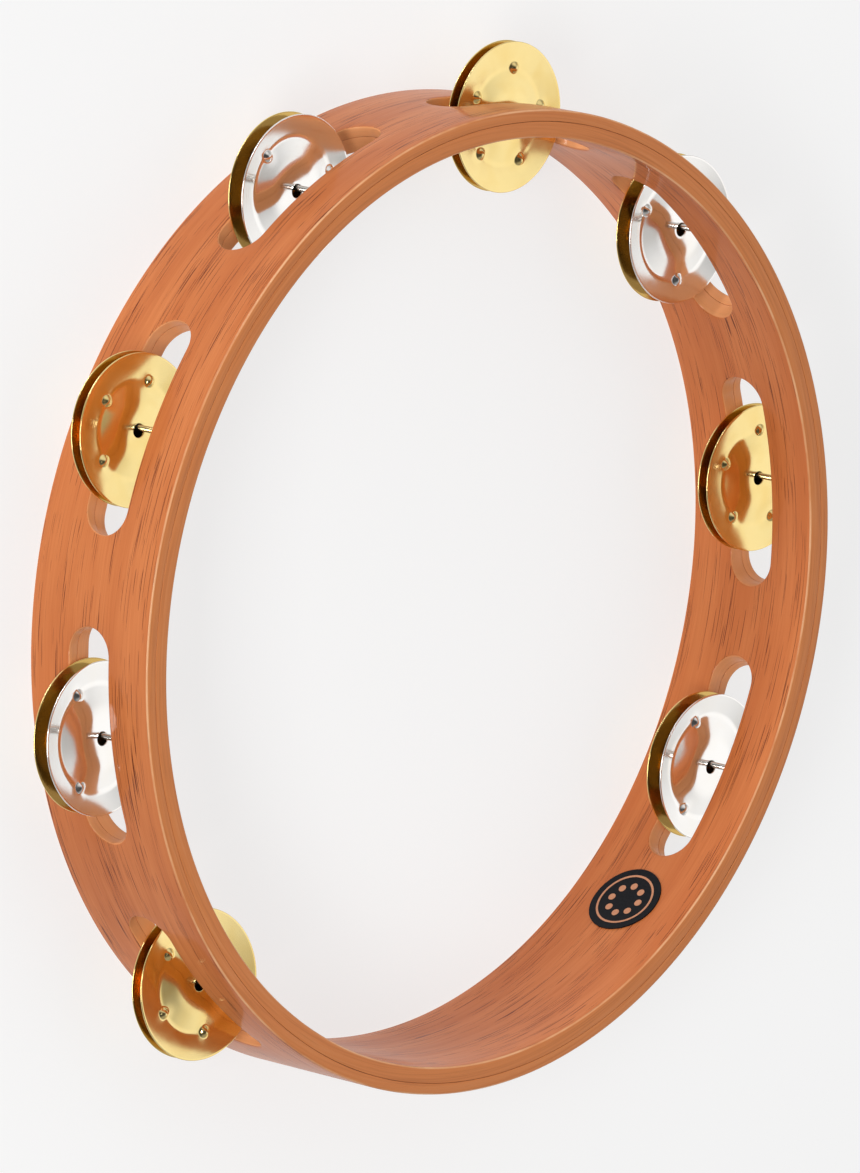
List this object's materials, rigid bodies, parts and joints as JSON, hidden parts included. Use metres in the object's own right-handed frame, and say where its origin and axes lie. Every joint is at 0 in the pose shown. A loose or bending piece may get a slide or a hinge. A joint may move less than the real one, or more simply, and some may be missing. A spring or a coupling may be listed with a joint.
{
  "type": "tambourine",
  "caption": "Round laminated wooden hoop with evenly spaced slots, each holding a pair of thin metal jingles on a steel pin, and a plain stretch of hoop as the hand-hold.",
  "frame": {"origin": "middle of the whole object's box, on the surface that the back rim rests on", "axes": "+Z along the hoop's axis towards the front rim; -Y from the hoop's centre towards the middle of the hand-hold; +X to the right of the hand-hold seen from the front with the hand-hold at the bottom"},
  "size_m": [0.2858, 0.263, 0.041],
  "materials": {
    "outer_ply_wood": "reddish stained wood under satin lacquer",
    "inner_ply_wood": "reddish stained wood under satin lacquer",
    "brass": "bright rolled sheet",
    "bright_steel": "bright nickel-plated sheet",
    "pin_steel": "drawn wire",
    "badge_black": "thin black disc"
  },
  "bodies": {
    "hoop": {"outer_ply": "outer_ply_wood", "inner_ply": "inner_ply_wood", "badge": "badge_black"},
    "pin_1": {"pin_1": "pin_steel"},
    "front_jingle_1": {"front_jingle_1": "bright_steel"},
    "back_jingle_1": {"back_jingle_1": "brass"},
    "pin_2": {"pin_2": "pin_steel"},
    "front_jingle_2": {"front_jingle_2": "brass"},
    "back_jingle_2": {"back_jingle_2": "brass"},
    "pin_3": {"pin_3": "pin_steel"},
    "front_jingle_3": {"front_jingle_3": "bright_steel"},
    "back_jingle_3": {"back_jingle_3": "brass"},
    "pin_4": {"pin_4": "pin_steel"},
    "front_jingle_4": {"front_jingle_4": "brass"},
    "back_jingle_4": {"back_jingle_4": "brass"},
    "pin_5": {"pin_5": "pin_steel"},
    "front_jingle_5": {"front_jingle_5": "bright_steel"},
    "back_jingle_5": {"back_jingle_5": "brass"},
    "pin_6": {"pin_6": "pin_steel"},
    "front_jingle_6": {"front_jingle_6": "brass"},
    "back_jingle_6": {"back_jingle_6": "brass"},
    "pin_7": {"pin_7": "pin_steel"},
    "front_jingle_7": {"front_jingle_7": "bright_steel"},
    "back_jingle_7": {"back_jingle_7": "brass"},
    "pin_8": {"pin_8": "pin_steel"},
    "front_jingle_8": {"front_jingle_8": "brass"},
    "back_jingle_8": {"back_jingle_8": "brass"}
  },
  "joints": [
    {"name": "pin_1_spin", "type": "hinge", "parent": "hoop", "child": "pin_1", "pos_m": [0.09757, -0.08005, 0.0185], "axis": [0, 0, 1], "continuous": true},
    {"name": "front_jingle_1_slide", "type": "slide", "parent": "pin_1", "child": "front_jingle_1", "axis": [0, 0, 1], "range_m": [-0.0006, 0.0072]},
    {"name": "back_jingle_1_slide", "type": "slide", "parent": "pin_1", "child": "back_jingle_1", "axis": [0, 0, 1], "range_m": [-0.0003, 0.0006]},
    {"name": "pin_2_spin", "type": "hinge", "parent": "hoop", "child": "pin_2", "pos_m": [0.12337, -0.00719, 0.0185], "axis": [0, 0, 1], "continuous": true},
    {"name": "front_jingle_2_slide", "type": "slide", "parent": "pin_2", "child": "front_jingle_2", "axis": [0, 0, 1], "range_m": [0, 0.0067]},
    {"name": "back_jingle_2_slide", "type": "slide", "parent": "pin_2", "child": "back_jingle_2", "axis": [0, 0, 1], "range_m": [-0.0019, 0]},
    {"name": "pin_3_spin", "type": "hinge", "parent": "hoop", "child": "pin_3", "pos_m": [0.10077, 0.06672, 0.0185], "axis": [0, 0, 1], "continuous": true},
    {"name": "front_jingle_3_slide", "type": "slide", "parent": "pin_3", "child": "front_jingle_3", "axis": [0, 0, 1], "range_m": [-0.0006, 0.0075]},
    {"name": "back_jingle_3_slide", "type": "slide", "parent": "pin_3", "child": "back_jingle_3", "axis": [0, 0, 1], "range_m": [0, 0.0006]},
    {"name": "pin_4_spin", "type": "hinge", "parent": "hoop", "child": "pin_4", "pos_m": [0.03864, 0.11269, 0.0185], "axis": [0, 0, 1], "continuous": true},
    {"name": "front_jingle_4_slide", "type": "slide", "parent": "pin_4", "child": "front_jingle_4", "axis": [0, 0, 1], "range_m": [0, 0.0065]},
    {"name": "back_jingle_4_slide", "type": "slide", "parent": "pin_4", "child": "back_jingle_4", "axis": [0, 0, 1], "range_m": [-0.0026, 0]},
    {"name": "pin_5_spin", "type": "hinge", "parent": "hoop", "child": "pin_5", "pos_m": [-0.03864, 0.11269, 0.0185], "axis": [0, 0, 1], "continuous": true},
    {"name": "front_jingle_5_slide", "type": "slide", "parent": "pin_5", "child": "front_jingle_5", "axis": [0, 0, 1], "range_m": [-0.0006, 0.0075]},
    {"name": "back_jingle_5_slide", "type": "slide", "parent": "pin_5", "child": "back_jingle_5", "axis": [0, 0, 1], "range_m": [0, 0.0006]},
    {"name": "pin_6_spin", "type": "hinge", "parent": "hoop", "child": "pin_6", "pos_m": [-0.10077, 0.06672, 0.0185], "axis": [0, 0, 1], "continuous": true},
    {"name": "front_jingle_6_slide", "type": "slide", "parent": "pin_6", "child": "front_jingle_6", "axis": [0, 0, 1], "range_m": [0, 0.0061]},
    {"name": "back_jingle_6_slide", "type": "slide", "parent": "pin_6", "child": "back_jingle_6", "axis": [0, 0, 1], "range_m": [-0.0006, 0]},
    {"name": "pin_7_spin", "type": "hinge", "parent": "hoop", "child": "pin_7", "pos_m": [-0.12337, -0.00719, 0.0185], "axis": [0, 0, 1], "continuous": true},
    {"name": "front_jingle_7_slide", "type": "slide", "parent": "pin_7", "child": "front_jingle_7", "axis": [0, 0, 1], "range_m": [-0.0006, 0.0048]},
    {"name": "back_jingle_7_slide", "type": "slide", "parent": "pin_7", "child": "back_jingle_7", "axis": [0, 0, 1], "range_m": [-0.0002, 0.0006]},
    {"name": "pin_8_spin", "type": "hinge", "parent": "hoop", "child": "pin_8", "pos_m": [-0.09757, -0.08005, 0.0185], "axis": [0, 0, 1], "continuous": true},
    {"name": "front_jingle_8_slide", "type": "slide", "parent": "pin_8", "child": "front_jingle_8", "axis": [0, 0, 1], "range_m": [0, 0.0037]},
    {"name": "back_jingle_8_slide", "type": "slide", "parent": "pin_8", "child": "back_jingle_8", "axis": [0, 0, 1], "range_m": [-0.0021, 0]}
  ]
}
